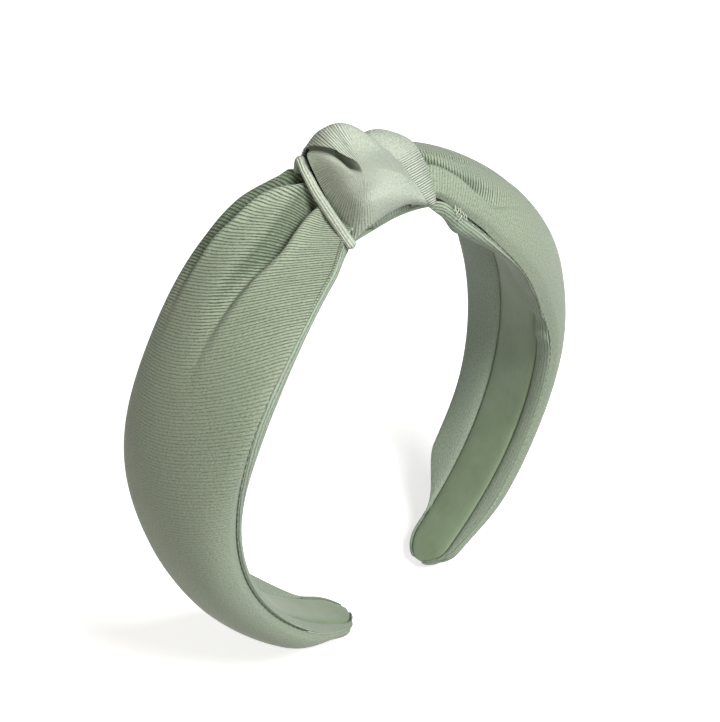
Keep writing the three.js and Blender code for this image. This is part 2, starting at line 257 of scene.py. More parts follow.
# Woven polyester twill with a satin face: raised ribs of float threads about 1 mm apart, pale and a little
# shiny on their crests and dark in between. It gives fine corduroy-like lines that turn with the cloth.
def wovenTwill(name, look):
    material, tree, shader = newMaterial(name)
    spot = addNode(tree, "ShaderNodeUVMap", uv_map="weave")
    spread = addNode(
        tree, "ShaderNodeVectorMath", {0: spot.outputs["UV"], 1: (0.55, 0.16, 1)}, operation="MULTIPLY"
    )
    drift = addNode(tree, "ShaderNodeTexNoise", {"Vector": spread.outputs[0], "Scale": 1.0, "Detail": 2.0})
    shift = addNode(
        tree, "ShaderNodeMath", {
            0: drift.outputs["Fac"], 1: look["ribDrift"], 2: -look["ribDrift"] / 2
        }, operation="MULTIPLY_ADD"
    )
    place = addNode(tree, "ShaderNodeSeparateXYZ", {"Vector": spot.outputs["UV"]})
    along = addNode(tree, "ShaderNodeMath", {0: place.outputs["X"], 1: shift.outputs[0]}, operation="ADD")
    turn = addNode(
        tree,
        "ShaderNodeMath",
        {0: along.outputs[0], 1: 2 * math.pi / look["ribSpacing"]},
        operation="MULTIPLY",
    )
    wave = addNode(tree, "ShaderNodeMath", {0: turn.outputs[0]}, operation="SINE")
    rib = addNode(
        tree,
        "ShaderNodeMapRange",
        {"Value": wave.outputs[0], "From Min": -1.0, "From Max": look["crestFrom"]},
    )
    # float threads across each rib: short bright and dark flecks, under half a rib wide
    fleckPlace = addNode(
        tree, "ShaderNodeVectorMath", {0: spot.outputs["UV"], 1: (1, 0.62, 1)}, operation="MULTIPLY"
    )
    fleck = addNode(
        tree, "ShaderNodeTexNoise", {
            "Vector": fleckPlace.outputs[0], "Scale": 1 / look["fleck"], "Detail": 3.0, "Roughness": 0.65
        }
    )
    strength = addNode(tree, "ShaderNodeAttribute", attribute_name="ribDepthAndShade", attribute_type="GEOMETRY")
    flat = addNode(
        tree, "ShaderNodeMix", {
            "Factor": strength.outputs["Fac"], "A": 0.68, "B": rib.outputs[0]
        }, data_type="FLOAT"
    )
    mixed = addNode(
        tree, "ShaderNodeMath", {
            0: fleck.outputs["Fac"], 1: look["fleckShare"], 2: flat.outputs[0]
        }, operation="MULTIPLY_ADD"
    )
    level = addNode(
        tree, "ShaderNodeMath", {0: mixed.outputs[0], 1: look["fleckShare"] / 2}, operation="SUBTRACT"
    )
    # over 1 the ribs are crowded in a fold; past 0.95 the colour is darkened there as painted shade in the
    # fold's valley
    creaseShade = addNode(
        tree, "ShaderNodeMapRange", {
            "Value": strength.outputs["Fac"], "From Min": 0.95, "From Max": 1.7, "To Max": -0.6
        }
    )
    height = addNode(tree, "ShaderNodeMath", {0: level.outputs[0], 1: creaseShade.outputs[0]}, operation="ADD")
    # slow changes of tone, as in a dyed cloth that was handled
    tonePlace = addNode(tree, "ShaderNodeTexCoord")
    tone = addNode(
        tree, "ShaderNodeTexNoise", {
            "Vector": tonePlace.outputs["Object"], "Scale": 1000 / look["toneSize"], "Detail": 3.0
        }
    )
    pale = addNode(
        tree, "ShaderNodeMix", {
            0: tone.outputs["Fac"], 6: toLinear(look["crest"]), 7: toLinear(look["crestCool"])
        }, data_type="RGBA"
    )
    colour = addNode(
        tree, "ShaderNodeMix", {
            0: height.outputs[0], 6: toLinear(look["groove"]), 7: pale.outputs[2]
        }, data_type="RGBA"
    )
    bump = addNode(
        tree, "ShaderNodeBump", {
            "Height": height.outputs[0],
            "Strength": look["bump"],
            "Distance": look["ribHeight"] * millimetre,
        }
    )
    rough = addNode(
        tree, "ShaderNodeMapRange", {
            "Value": height.outputs[0], "To Min": look["rough"] + 0.18, "To Max": look["rough"]
        }
    )
    tree.links.new(colour.outputs[2], shader.inputs["Base Color"])
    tree.links.new(bump.outputs[0], shader.inputs["Normal"])
    tree.links.new(rough.outputs[0], shader.inputs["Roughness"])
    shader.inputs["Specular IOR Level"].default_value = 0.3
    shader.inputs["Sheen Weight"].default_value = look["sheen"]
    shader.inputs["Sheen Roughness"].default_value = 0.5
    return material


twillLook = dict(
    ribSpacing=0.98,
    ribDrift=0.8,
    crestFrom=0.05,  # where on the wave a rib's crest begins, so that the grooves are thin
    fleck=0.42,
    fleckShare=1.5,
    toneSize=26,
    crest="#abb69e",
    crestCool="#a0af9b",
    groove="#4e5e48",
    bump=0.9,
    ribHeight=0.22,
    rough=0.5,
    sheen=0.12,
)
panelTwill = wovenTwill("ribbed satin twill, outer panel", twillLook)
facingTwill = wovenTwill(
    "ribbed satin twill, facing", dict(
        twillLook, ribSpacing=0.95, crest="#aebaa4", crestCool="#a0b0a0", groove="#5c6c57"
    )
)
# The knot is the same cloth as the legs; its paler crests and grooves are painted light, for the light and
# sheen that the knot catches.
knotTwillPaintedLighter = wovenTwill(
    "ribbed satin twill, knot, painted lighter",
    dict(twillLook, ribSpacing=0.86, crest="#ced5c6", crestCool="#c0cabc", groove="#6d7b65"),
)


# Plain-back satin glued round the hoop: too fine to show its threads, so it gives a smooth, softly shiny
# strip with faint lengthwise slubs. They are drawn about four times too coarse, to show at all.
def gluedSatin(name, look):
    material, tree, shader = newMaterial(name)
    spot = addNode(tree, "ShaderNodeUVMap", uv_map="weave")
    stretch = addNode(
        tree, "ShaderNodeVectorMath", {0: spot.outputs["UV"], 1: (0.12, 2.0, 1)}, operation="MULTIPLY"
    )
    slub = addNode(tree, "ShaderNodeTexNoise", {"Vector": stretch.outputs[0], "Scale": 1.2, "Detail": 4.0})
    blot = addNode(tree, "ShaderNodeTexNoise", {"Vector": spot.outputs["UV"], "Scale": 0.09, "Detail": 3.0})
    mixed = addNode(
        tree,
        "ShaderNodeMath",
        {0: slub.outputs["Fac"], 1: 0.35, 2: blot.outputs["Fac"]},
        operation="MULTIPLY_ADD",
    )
    share = addNode(
        tree, "ShaderNodeMapRange", {"Value": mixed.outputs[0], "From Min": 0.4, "From Max": 0.95}
    )
    colour = addNode(
        tree, "ShaderNodeMix", {
            0: share.outputs[0], 6: toLinear(look["dark"]), 7: toLinear(look["pale"])
        }, data_type="RGBA"
    )
    bump = addNode(
        tree,
        "ShaderNodeBump",
        {"Height": slub.outputs["Fac"], "Strength": 0.5, "Distance": 0.05 * millimetre},
    )
    tree.links.new(colour.outputs[2], shader.inputs["Base Color"])
    tree.links.new(bump.outputs[0], shader.inputs["Normal"])
    shader.inputs["Roughness"].default_value = look["rough"]
    shader.inputs["Specular IOR Level"].default_value = 0.4
    shader.inputs["Sheen Weight"].default_value = 0.1
    return material


stripSatin = gluedSatin("glued satin", dict(dark="#75866a", pale="#8a9b80", rough=0.42))


# Spun polyester thread: a slight twist and fuzz, duller than the cloth.
def spunThread(name, look):
    material, tree, shader = newMaterial(name)
    spot = addNode(tree, "ShaderNodeUVMap", uv_map="weave")
    twist = addNode(
        tree, "ShaderNodeTexWave", {
            "Vector": spot.outputs["UV"], "Scale": 1.0, "Distortion": 0.6
        }, bands_direction="DIAGONAL"
    )
    colour = addNode(
        tree, "ShaderNodeMix", {
            0: twist.outputs["Fac"], 6: toLinear(look["dark"]), 7: toLinear(look["pale"])
        }, data_type="RGBA"
    )
    bump = addNode(
        tree,
        "ShaderNodeBump",
        {"Height": twist.outputs["Fac"], "Strength": 0.6, "Distance": 0.04 * millimetre},
    )
    tree.links.new(colour.outputs[2], shader.inputs["Base Color"])
    tree.links.new(bump.outputs[0], shader.inputs["Normal"])
    shader.inputs["Roughness"].default_value = 0.75
    return material


seamThread = spunThread("spun polyester thread, sage", dict(dark="#46543f", pale="#66755c"))
paleThread = spunThread("spun polyester thread, pale", dict(dark="#b9c3ac", pale="#e9ede0"))


# Open-cell foam: matt, off-white, with cells under half a millimetre.
def openCellFoam(name, look):
    material, tree, shader = newMaterial(name)
    place = addNode(tree, "ShaderNodeTexCoord")
    cells = addNode(
        tree, "ShaderNodeTexVoronoi", {"Vector": place.outputs["Object"], "Scale": 1000 / look["cell"]}
    )
    colour = addNode(
        tree, "ShaderNodeMix", {
            0: cells.outputs["Distance"], 6: toLinear(look["pit"]), 7: toLinear(look["face"])
        }, data_type="RGBA"
    )
    bump = addNode(
        tree,
        "ShaderNodeBump",
        {"Height": cells.outputs["Distance"], "Strength": 0.8, "Distance": 0.3 * millimetre},
    )
    tree.links.new(colour.outputs[2], shader.inputs["Base Color"])
    tree.links.new(bump.outputs[0], shader.inputs["Normal"])
    shader.inputs["Roughness"].default_value = 0.95
    return material


padFoam = openCellFoam("open-cell foam", dict(cell=0.45, pit="#cfcbb8", face="#f1eee0"))


# Injection-moulded ABS: even off-white with a fine spark-eroded grain.
def mouldedAbs(name, look):
    material, tree, shader = newMaterial(name)
    place = addNode(tree, "ShaderNodeTexCoord")
    grain = addNode(
        tree,
        "ShaderNodeTexNoise",
        {"Vector": place.outputs["Object"], "Scale": 1000 / look["grain"], "Detail": 2.0},
    )
    colour = addNode(
        tree, "ShaderNodeMix", {
            0: grain.outputs["Fac"], 6: toLinear(look["shade"]), 7: toLinear(look["body"])
        }, data_type="RGBA"
    )
    bump = addNode(
        tree,
        "ShaderNodeBump",
        {"Height": grain.outputs["Fac"], "Strength": 0.3, "Distance": 0.02 * millimetre},
    )
    tree.links.new(colour.outputs[2], shader.inputs["Base Color"])
    tree.links.new(bump.outputs[0], shader.inputs["Normal"])
    shader.inputs["Roughness"].default_value = 0.38
    shader.inputs["IOR"].default_value = 1.53
    return material


hoopAbs = mouldedAbs("injection-moulded ABS", dict(grain=0.3, shade="#cfcfc6", body="#dedfd6"))
print("materials done")

leg = dict(
    tipHalfWidth=8.4,
    tipLength=190,
    tipReach=7.2,
    neckFront=10,
    neckBack=18,
    shoulderFront=15,
    fractions=[0.3, 0.5, 0.7, 0.87],
    front=[20.6, 15.8, 13.9, 13.2],
    seamHeights=[3.4, 1.3, 0.6],
    tipTaper=[158, 178],  # where the back edge narrows to the strip
    clothThickness=0.45,
    hiddenStart=5,  # how far the cloth runs into the knot
    turnIn=0.9,  # seam allowance
    rowStep=0.55,
)
tipCentre = leg["tipLength"] - leg["tipHalfWidth"]

# Pleats where the cloth is gathered: each is a line of (s, y), with its depth and the width of the roll
# behind it.
legs = dict(
    left=dict(
        side=-1,
        body="left_arm",
        knotSide=9,
        fullness=1.045,
        pleats=[
            dict(
                line=[(3, 3.4), (10, 2), (15, 0.5), (21, -0.7), (26, -0.3), (30, 0.3), (45, 1), (190, 0)],
                roll=3.0,
                lip=0.3,
                depth=[(3, 4.2), (20, 4), (33, 2.2), (45, 0.8), (62, 0), (190, 0)],
            ),
            dict(
                line=[
                    (3, 7.6), (8, 9.5), (15, 13.7), (23, 15.8), (28, 17.5), (33, 17.7), (50, 17.5), (190, 4)
                ],
                roll=2.6,
                lip=0.3,
                depth=[(3, 5), (20, 4.8), (26, 3.8), (34, 2.2), (46, 0.7), (60, 0), (190, 0)],
            ),
        ],
        ribLean=[(0, 1.25), (30, 1.1), (60, 0.65), (100, 0.45), (130, 0.9), (160, 1.4), (190, 1.4)],
        ribDepthAndShade=[(0, 1), (30, 0.75), (50, 0.45), (75, 0.28), (100, 0.18), (125, 0.1), (190, 0.05)],
        frontLift=[
            (0, 3.9), (11, 3.7), (21, 2.4), (34, 2.4), (50, 4), (60, 4.4), (75, 2.5), (91, 0.4), (120, 0),
            (150, 0), (190, 0),
        ],
        frontBulge=[(0, -1), (12, -1), (30, 0.6), (60, 1.3), (130, 1.4), (165, 0.3), (190, 0)],
        backBulge=[(0, 0.2), (60, 1.3), (130, 1.2), (160, 0.2), (190, 0)],
        frontWrinkles=[],
        backWrinkles=[],
        heights=[13.6, 14.2, 12.3, 13.4, 12.6, 10.4, 5.6],
        back=[22.3, 25.5, 27.3, 19.4, 19.2],
        peak=[(0, 13), (22, 13.5), (36, 11), (60, 6), (100, 3.4), (150, 2.6), (190, 0)],
        mouth=7,
    ),
    right=dict(
        side=1,
        body="right_arm",
        knotSide=20,
        fullness=0.955,
        pleats=[
            dict(
                line=[
                    (14, -1), (20.5, -3.9), (24.5, -6.7), (29, -10), (33.5, -11.7), (37, -13.3), (60, -13),
                    (190, -4),
                ],
                roll=2.8,
                lip=0.25,
                depth=[(14, 4.8), (28, 4.8), (36, 3), (44, 0.8), (52, 0), (190, 0)],
            ),
            dict(
                line=[
                    (14, 4), (22.5, 2.3), (27, 0.8), (34, -0.2), (42.5, -1.3), (51, -1), (70, 0), (190, 0)
                ],
                roll=1.8,
                lip=0.25,
                depth=[(14, 2.8), (30, 2.6), (42, 1.6), (52, 0.4), (62, 0), (190, 0)],
            ),
        ],
        ribLean=[(0, 0.5), (40, 0.45), (90, 0.3), (190, 0.3)],
        ribDepthAndShade=[(0, 0.45), (26, 0.3), (45, 0.16), (70, 0.1), (110, 0.06), (190, 0.03)],
        frontLift=[
            (0, 1.2), (18, 1.2), (29, -3), (39, -5.4), (52, -7), (68, -7.2), (84, -5.7), (95, -3),
            (103, -1.2), (112, 0), (190, 0),
        ],
        frontBulge=[
            (0, 0.3), (22, 1.0), (30, 5.5), (60, 6.4), (70, 6.8), (78, 5.8), (84, 4.4), (98, 2.8),
            (106, 1.2), (114, 0.4), (190, 0),
        ],
        backBulge=[(0, 0.2), (60, 1.3), (130, 1.2), (160, 0.2), (190, 0)],
        frontWrinkles=[
            dict(s=88, width=2.5, height=0.9),
            dict(s=95, width=3, height=-0.8),
            dict(s=101, width=2.5, height=0.7),
        ],
        backWrinkles=[dict(s=70, width=4, height=0.9), dict(s=80, width=5, height=-0.8)],
        heights=[12, 11.3, 13, 13.3, 11.5, 8.2, 5.6],
        back=[20, 24.9, 22.8, 18.8, 16.6],
        peak=[(0, 4), (60, 3), (100, 3.4), (150, 2.6), (190, 0)],
        mouth=19.5,
    ),
)


def curveOf(pairs):
    return profile(*zip(*pairs))


def roundTip(halfWidth, s, reach):
    past = np.maximum(0, s - tipCentre) / reach
    return halfWidth * np.sqrt(np.maximum(0.004, 1 - past**2))


def stripWidth(s):
    stations = [0, 0.6 * hoop["halfLength"], tipCentre]
    width = profile(
        stations, [hoop["stripHalfWidth"], hoop["stripHalfWidth"], hoop["stripTipHalfWidth"]]
    )(s)
    return roundTip(width, s, hoop["tipReach"])


def legShape(part):
    length = leg["tipLength"]
    knotSide = part["knotSide"]
    stations = [knotSide, knotSide + 10, *(share * length for share in leg["fractions"]), length]
    full = part["fullness"]
    front = profile(
        stations,
        [leg["neckFront"], *(full * w for w in [leg["shoulderFront"], *leg["front"]]), leg["tipHalfWidth"]],
    )
    back = profile(stations, [leg["neckBack"], *part["back"], leg["tipHalfWidth"]])
    seam = profile([knotSide, 0.4 * length, length], leg["seamHeights"])

    def taperedBack(s):
        narrow = smooth(*leg["tipTaper"], s)
        return roundTip(back(s), s, leg["tipReach"]) * (1 - narrow) + (stripWidth(s) + 0.6) * narrow

    return dict(
        front=lambda s: np.maximum(roundTip(front(s), s, leg["tipReach"]), stripWidth(s) + 0.6),
        back=taperedBack,
        top=profile(stations, part["heights"]),
        seamFront=lambda s: seam(s) + curveOf(part["frontLift"])(s),
        seamBack=seam,
        round=profile([knotSide, 0.8 * length, length], [0.74, 0.74, 0.5]),
    )


# How much of the full size the cloth keeps where it runs into the knot.
def mouthShrink(part, s):
    return 0.5 + 0.5 * smooth(part["mouth"] - leg["hiddenStart"], part["mouth"], s)


# Rows along a leg, closer together at the tip.
def legRows(first):
    along = np.arange(first, tipCentre, leg["rowStep"])
    tip = tipCentre + (hoop["tipReach"] - 0.3) * np.sin(np.linspace(0, math.pi / 2, 24))
    return np.concatenate([along, tip])


# Angles across the arch of the outer panel, with close columns on both sides of each pleat.
def archAngles(part, shape, rows):
    front, back = shape["front"](rows), shape["back"](rows)
    middle, reach = (back - front) / 2, (back + front) / 2
    edges = [np.full_like(rows, 0.0)]
    for pleat in part["pleats"]:
        y = np.clip(curveOf(pleat["line"])(rows), middle - 0.93 * reach, middle + 0.93 * reach)
        edges.append(np.arccos(-(y - middle) / reach))
    edges.append(np.full_like(rows, math.pi))
    columns = [edges[0][:, None]]
    for low, high in zip(edges[:-1], edges[1:]):
        f = np.linspace(0, 1, 44)[1:]
        f = 0.5 - np.cos(math.pi * f) / 2  # close at both ends
        columns.append(low[:, None] + (high - low)[:, None] * f[None])
    return np.concatenate(columns, 1)


# The outer panel's section at each row: its peak may lie off the middle, it drops at each pleat, and both
# edges turn in.
def panelSection(part, shape, rows, angle):
    front, back = shape["front"](rows)[:, None], shape["back"](rows)[:, None]
    s = rows[:, None]
    share = (1 - np.cos(angle)) / 2
    peak = (curveOf(part["peak"])(s) + front) / (front + back)
    warped = np.maximum(share, 1e-6) ** (math.log(0.5) / np.log(peak))
    y = share * (front + back) - front
    seam = shape["seamFront"](s) * (1 - share) + shape["seamBack"](s) * share
    arch = np.maximum(4 * warped * (1 - warped), 0) ** (shape["round"](s) / 2)
    n = seam + (shape["top"](s) - seam) * arch
    for pleat in part["pleats"]:
        behind = y - curveOf(pleat["line"])(s)
        step = 0.3 + 0.07 * np.maximum(0, s - part["mouth"] - 6)
        floor = np.exp(-((np.maximum(behind, 0) / pleat["roll"]) ** 1.6))
        roll = np.where(behind >= 0, floor, np.exp(np.minimum(behind, 0) / step))
        lip = pleat["lip"] * np.exp(-(((behind + 2.0) / 1.7) ** 2))
        n = n - curveOf(pleat["depth"])(s) * (roll - lip)
    turnIn = np.maximum(0, 1 - angle / 0.13) ** 1.5 - np.maximum(0, 1 - (math.pi - angle) / 0.13) ** 1.5
    y = y + leg["turnIn"] * turnIn * np.minimum(1, front / 6)
    n = np.maximum(n, np.minimum(seam, 3.2)) - 0.1 * np.abs(turnIn)
    hidden = mouthShrink(part, s)
    return y * hidden, n * hidden


def rowLengths(grid):
    steps = np.linalg.norm(np.diff(grid, axis=1), axis=2)
    return np.concatenate([np.zeros((len(grid), 1)), np.cumsum(steps, 1)], 1)


def makePanel(name, part):
    shape = legShape(part)
    rows = legRows(part["mouth"] - leg["hiddenStart"])
    angle = archAngles(part, shape, rows)
    y, n = panelSection(part, shape, rows, angle)
    s = np.broadcast_to(rows[:, None], y.shape)
    grid = onHoop(part["side"], s, y, n)
    inside = onHoop(part["side"], rows, (shape["back"](rows) - shape["front"](rows)) / 2, 3)
    turn = np.interp(s, walkS, walkTurn)
    lean = curveOf(part["ribLean"])(s)
    bent = y - 4 * np.log1p(np.exp((y - 7) / 5))  # the ribs run straighter over the back half
    ribs = s + 10 * turn - lean * bent
    weave = np.stack([ribs, rowLengths(grid)], -1)
    depth = curveOf(part["ribDepthAndShade"])(s)
    # in each pleat the rib depth is raised: the ribs crowd there, and past 0.95 the colour also darkens as
    # painted shade in the valley
    for pleat in part["pleats"]:
        behind = (y - curveOf(pleat["line"])(s)) / pleat["roll"]
        depth = depth + 0.34 * curveOf(pleat["depth"])(s) * np.exp(
            -((behind - 1) ** 2) * 1.8
        )  # ribs crowd in a pleat, with painted shade in its valley
    return makeCloth(
        f"outer_panel_{name}_twill", grid, leg["clothThickness"], panelTwill, weave, depth, inside
    )


# The facing from one seam, round the rolled edge, and in under the strip. Edge is -1 in front and 1 behind.
def makeFacing(name, part, edge):
    place = "front" if edge < 0 else "back"
    shape = legShape(part)
    rows = legRows(part["mouth"] - leg["hiddenStart"] + 0.8)
    s = rows[:, None]
    reach = shape[place](rows)[:, None]
    bulge = curveOf(part[place + "Bulge"])(s)
    for wrinkle in part[place + "Wrinkles"]:
        bulge = bulge + wrinkle["height"] * np.exp(-(((s - wrinkle["s"]) / wrinkle["width"]) ** 2))
    channel = stripWidth(rows)[:, None] + 0.12
    reach = np.maximum(reach, channel + 0.3)
    low = (channel + reach) / 2
    seam = shape["seam" + place.title()](s) - 0.35
    sweep = np.linspace(0, math.pi, 44)[None]
    outerHalf = sweep < math.pi / 2
    turnIn = np.maximum(0, 1 - sweep / 0.3) ** 1.5 * np.clip((reach - channel) / 4, 0, 1)
    y = low + np.where(outerHalf, reach - 0.1 - low, low - channel) * np.cos(sweep) - leg["turnIn"] * turnIn
    top = np.where(outerHalf, seam, 1.3)
    bulge = np.maximum(bulge, 0.15 - seam)
    n = top - (top + bulge) * np.sin(sweep) ** 0.85 + 0.25 * turnIn
    under = [
        (0.03, 2.0), (-0.15, 2.7), (-0.6, 2.95), (-1.6, 3.0), (-3.0, 3.0)
    ]  # tucked between the strip and the pad
    room = np.minimum(1, channel / 4)
    y = np.concatenate([y] + [channel + step * room for step, _ in under], 1)
    n = np.concatenate([n] + [np.full_like(channel, height) for _, height in under], 1)
    shown = smooth(part["mouth"] - 2, part["mouth"] + 3.5, s)  # before this it lies inside the strip
    y = channel - 0.9 * (1 - shown) + (y - channel) * shown
    n = 1.3 + (n - 1.3) * shown
    s = np.broadcast_to(s, y.shape)
    grid = onHoop(part["side"], s, edge * y, n)
    inside = onHoop(part["side"], rows, edge * low[:, 0], 5)
    lengths = rowLengths(grid)
    weave = np.stack([lengths, s], -1)
    depth = (0.75 if edge < 0 else 0.4) * (1 - 0.5 * smooth(0, 8, lengths)) * (1 - 0.7 * smooth(80, 140, s))
    return makeCloth(
        f"facing_{place}_{name}_twill", grid, leg["clothThickness"], facingTwill, weave, depth, inside
    )


# A sine or cosine wave made squarer (power under 1), for sections with rounded corners.
def squarer(wave, power):
    return np.sign(wave) * np.abs(wave) ** power


# The covered hoop from the middle of the crown to one tip, with rounded edges.
def makeStrip(name, part):
    tip = tipCentre + hoop["tipReach"] * np.sin(np.linspace(0, math.pi / 2, 16))
    rows = np.concatenate([np.arange(0, tipCentre, 1.0), tip])
    half = stripWidth(rows)[:, None]
    angle = np.linspace(0, 2 * math.pi, 48, endpoint=False)[None]
    thickness = hoop["sleeveThickness"]
    edge = np.minimum(half, 1.0)
    y = (half - edge) * squarer(np.cos(angle), 0.28) + edge * squarer(np.cos(angle), 0.9)
    n = thickness / 2 + thickness / 2 * squarer(np.sin(angle), 0.75)
    s = np.broadcast_to(rows[:, None], y.shape)
    rings = onHoop(part["side"], s, y, np.broadcast_to(n, y.shape))
    weave = np.stack([s, np.broadcast_to(y, s.shape)], -1)
    return makeLoft(f"strip_{name}_satin", rings, stripSatin, weave, np.zeros(s.shape))


# The moulded hoop inside the strip.
def makeHoop(name, part):
    rows = np.arange(0, tipCentre + 3, 1.0)
    half = np.minimum(stripWidth(rows) - 0.8, hoop["stripHalfWidth"] - 1.2)[:, None]
    angle = np.linspace(0, 2 * math.pi, 32, endpoint=False)[None]
    y = half * squarer(np.cos(angle), 0.3)
    n = hoop["sleeveThickness"] / 2 + hoop["plasticThickness"] / 2 * squarer(np.sin(angle), 0.3)
    s = np.broadcast_to(rows[:, None], y.shape)
    rings = onHoop(part["side"], s, y, np.broadcast_to(n, y.shape))
    return makeLoft(f"hoop_{name}_plastic", rings, hoopAbs)


def makePad(name, part):
    shape = legShape(part)
    rows = np.arange(part["knotSide"] + 3.2, leg["tipLength"] - 22, 2.5)
    # further in where the front edge hangs low
    first = 0.25 + 0.7 * smooth(0, 5, -curveOf(part["frontLift"])(rows))[:, None]
    angle = first + (math.pi - 0.25 - first) * np.linspace(0, 1, 33)[None]
    y, n = panelSection(part, shape, rows, angle)
    seat = hoop["sleeveThickness"] + 1.2
    y = y * 0.94
    n = np.maximum(n - 1.4, seat)
    yUnder = y[:, ::-1][:, 1:-1]
    nUnder = np.full_like(yUnder, seat - 0.3)
    s = np.broadcast_to(rows[:, None], (len(rows), 64))
    rings = onHoop(part["side"], s, np.concatenate([y, yUnder], 1), np.concatenate([n, nUnder], 1))
    return makeLoft(f"pad_{name}_foam", rings, padFoam)


# Short stitches along a seam, between two distances from the crown.
def seamStitches(part, edge, first, last, stitch, pitch, radiusOut, lean=0.0):
    shape = legShape(part)
    reach = shape["front" if edge < 0 else "back"]
    seam = shape["seamFront" if edge < 0 else "seamBack"]
    paths = []
    for start in np.arange(first, last - stitch, pitch):
        s = np.linspace(start, start + stitch, 6)
        y = reach(s) - 0.55 + radiusOut + lean * np.linspace(-1, 1, 6)
        rise = 0.12 * np.sin(np.linspace(0, math.pi, 6))
        n = seam(s) - 0.2 + rise - lean * np.linspace(-1, 1, 6)
        paths.append(onHoop(part["side"], s, edge * y, n))
    return paths


def blendLeg(piece):
    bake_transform(piece)


for name, part in legs.items():
    panel = makePanel(name, part)
    frontFacing = makeFacing(name, part, -1)
    backFacing = makeFacing(name, part, 1)
    strip = makeStrip(name, part)
    plastic = makeHoop(name, part)
    pad = makePad(name, part)
    start = part["knotSide"] + 4
    closing = tipCentre - 24
    stop = tipCentre - 2
    frontSeam = makeRods(
        f"seam_stitches_front_{name}",
        seamStitches(part, -1, start + 6, closing - 1, 1.9, 2.5, -0.05),
        0.12,
        seamThread,
    )
    backSeam = makeRods(
        f"seam_stitches_back_{name}", seamStitches(part, 1, start, stop, 1.9, 2.5, -0.05), 0.1, seamThread
    )
    ladder = makeRods(
        f"closing_stitches_{name}",
        seamStitches(part, -1, closing, stop, 1.3, 1.7, 0.0, 0.25),
        0.11,
        paleThread,
    )
    for piece, slot, *nodes in (
        (panel, "panel_twill", f"outer_panel_{name}"),
        (frontFacing, "facing_twill", f"facing_{name}"),
        (backFacing, "facing_twill", f"facing_{name}"),
        (strip, "strip_satin", f"sleeve_{name}", "sleeve_crown"),
        (plastic, "hoop_plastic", f"hoop_arm_{name}", "hoop_crown"),
        (pad, "foam", f"pad_{name}"),
        (frontSeam, "seam_thread", f"seam_thread_front_{name}"),
        (backSeam, "seam_thread", f"seam_thread_back_{name}"),
        (ladder, "seam_thread", f"closing_stitch_{name}"),
    ):
        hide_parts(*nodes)
        blendLeg(piece)
print("legs done")

# Points of the wide wrap, from the collar to the diagonal fold, row by row from the front edge over to the
# back.
wrap = dict(
    rows=[
        [(-7.4, -6.5, 3.2), (-4.2, -8.5, 5.8), (1.4, -9, 6.8), (8.2, -8.6, 5.4), (14.2, -8, 1.6)],
        [(-8.9, -10, 3.8), (-4.8, -12.5, 7.8), (1.2, -13.5, 9.4), (8.4, -13, 7.8), (15.1, -12, 3.2)],
        [(-8.2, -4, 6.5), (-6.4, -12, 15.1), (-0.7, -14.5, 16.5), (7.3, -14, 12.7), (13.9, -12.5, 6.9)],
        [(-7.1, 3, 12.1), (-5, -6, 17.4), (1, -9, 19.9), (7.9, -9.5, 17), (13.1, -9, 11.3)],
        [(-6.9, 8, 18.9), (-3.5, 1, 22.4), (3.1, -1, 21.4), (8.8, -2, 18.8), (13.2, -3, 14.5)],
        [(-4.8, 12, 19.5), (-1.4, 9, 24.9), (3, 7, 26.1), (7, 6, 23.6), (9.5, 5, 20.3)],
        [(-6, 15, 10), (-2, 15.5, 14), (3, 15.5, 15), (8, 15, 13), (12, 13, 10)],
        [(-7, 15, 3), (-3, 16, 3.5), (3, 16, 3.5), (9, 15.5, 3), (14, 14, 1)],
        [(-6, 9, 3), (-3, 9.5, 3.4), (3, 9.5, 3.4), (8, 9, 3), (12.5, 8.5, 0.8)],
    ],
)


# A smooth surface through a table of points, at shares from 0 to 1 across (u) and along (v).
def patchPoint(table, u, v):
    table = np.asarray(table, float)

    def weights(share, count):
        place = np.clip(share, 0, 1) * (count - 1)
        i = np.minimum(place.astype(int), count - 2)
        f = place - i
        cubics = [-f + 2 * f**2 - f**3, 2 - 5 * f**2 + 3 * f**3, f + 4 * f**2 - 3 * f**3, -(f**2) + f**3]
        basis = np.stack(cubics, -1) / 2
        index = np.stack([i - 1, i, i + 1, i + 2], -1)
        return basis, index

    # one more row and column past each end, in line with the last two
    table = np.concatenate([2 * table[:1] - table[1:2], table, 2 * table[-1:] - table[-2:-1]], 0)
    table = np.concatenate(
        [2 * table[:, :1] - table[:, 1:2], table, 2 * table[:, -1:] - table[:, -2:-1]], 1
    )
    u, v = np.broadcast_arrays(u, v)
    wu, iu = weights(u, table.shape[1] - 2)
    wv, iv = weights(v, table.shape[0] - 2)
    corners = table[iv[..., :, None] + 1, iu[..., None, :] + 1]
    return np.einsum("...i,...j,...ijk->...k", wv, wu, corners)


# Axes of the plane that the knot's front lies in, to place the fans of ribs.
knotRight = np.array([0.786, -0.618, 0.0])
knotUp = np.array([0.375, 0.477, 0.795])

eye = dict(
    start=0.0,  # share across the wrap where the lip begins
    end=0.405,  # share where the pocket ends, rounded
    roundEnd=0.08,
    line=[
        (0, 0.588), (0.03, 0.587), (0.137, 0.561), (0.203, 0.546), (0.267, 0.53), (0.32, 0.496),
        (0.363, 0.475), (0.4, 0.452), (0.45, 0.43), (0.55, 0.4), (0.7, 0.37), (1, 0.34),
    ],
    depth=6.5,
    open=3.4,
    overhang=0.9,
    lipHeight=1.0,
    underlap=8.0,
)


